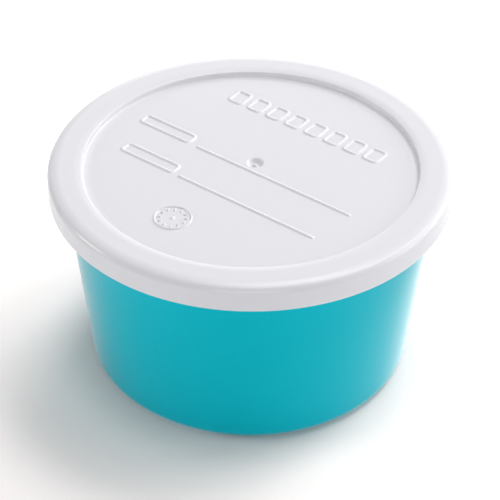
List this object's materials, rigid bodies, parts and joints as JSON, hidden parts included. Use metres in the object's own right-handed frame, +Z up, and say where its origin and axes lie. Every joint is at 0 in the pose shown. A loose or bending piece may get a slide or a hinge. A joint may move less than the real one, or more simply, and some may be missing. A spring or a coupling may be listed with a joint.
{
  "type": "denture cup",
  "caption": "Round tapered plastic cup with a wide press-on lid, used to soak and store dentures; the lid has a sunk panel with raised writing lines and lifts off.",
  "frame": {"origin": "centre of the cup's base, on the surface that it stands on", "axes": "+Z up along the axis of the cup, +X along the writing lines on the lid, read from the side of -Y"},
  "size_m": [0.096, 0.096, 0.0532],
  "materials": {
    "cup_plastic": "smooth moulded turquoise polypropylene with a soft gloss",
    "lid_plastic": "satin moulded white polypropylene"
  },
  "bodies": {
    "cup": {"cup": "cup_plastic"},
    "lid": {"lid": "lid_plastic"}
  },
  "joints": [
    {"name": "lid_lift", "type": "slide", "parent": "cup", "child": "lid", "axis": [0, 0, 1], "range_m": [0, 0.06]}
  ]
}
